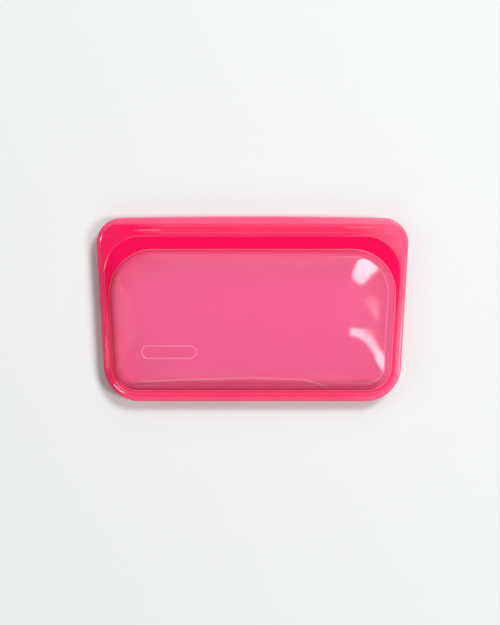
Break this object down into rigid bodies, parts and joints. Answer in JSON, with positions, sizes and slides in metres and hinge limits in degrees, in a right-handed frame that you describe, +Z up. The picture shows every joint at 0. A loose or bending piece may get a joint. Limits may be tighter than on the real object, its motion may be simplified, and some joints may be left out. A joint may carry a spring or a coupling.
{
  "type": "reusable silicone bag",
  "caption": "Flat translucent silicone food bag with a shallow domed pocket, a fused flange around it and a pinch seal along its mouth.",
  "frame": {"origin": "on the table under the middle of the bag, which lies on its back: bottom centre of the bounding box", "axes": "+X to the right along the mouth, +Y from the bottom edge towards the lips, +Z up out of the domed front"},
  "size_m": [0.1904, 0.112, 0.0254],
  "materials": {
    "pocket_silicone": "soft gloss, translucent, thin wall",
    "lip_silicone": "soft gloss, translucent",
    "seam_silicone": "soft gloss, nearly opaque where thick"
  },
  "bodies": {
    "back_half": {"back_wall": "pocket_silicone", "edge_seam": "seam_silicone", "mouth_end_left": "seam_silicone", "mouth_end_right": "seam_silicone"},
    "back_lip_flap": {"back_lip": "lip_silicone", "seal_groove": "seam_silicone"},
    "front_half": {"front_wall": "pocket_silicone", "bottom_fold": "seam_silicone", "seal_tongue": "seam_silicone", "front_lip": "lip_silicone"}
  },
  "joints": [
    {"name": "mouth_open", "type": "hinge", "parent": "back_half", "child": "front_half", "pos_m": [0, -0.052, 0.0118], "axis": [1, 0, 0], "range_deg": [0, 22], "stiffness_Nm_per_rad": 0.3, "springref_deg": -5.73},
    {"name": "back_lip_peel", "type": "hinge", "parent": "back_half", "child": "back_lip_flap", "pos_m": [0, 0.0468, 0.0102], "axis": [-1, 0, 0], "range_deg": [0, 40], "stiffness_Nm_per_rad": 0.01, "springref_deg": -5.73}
  ]
}
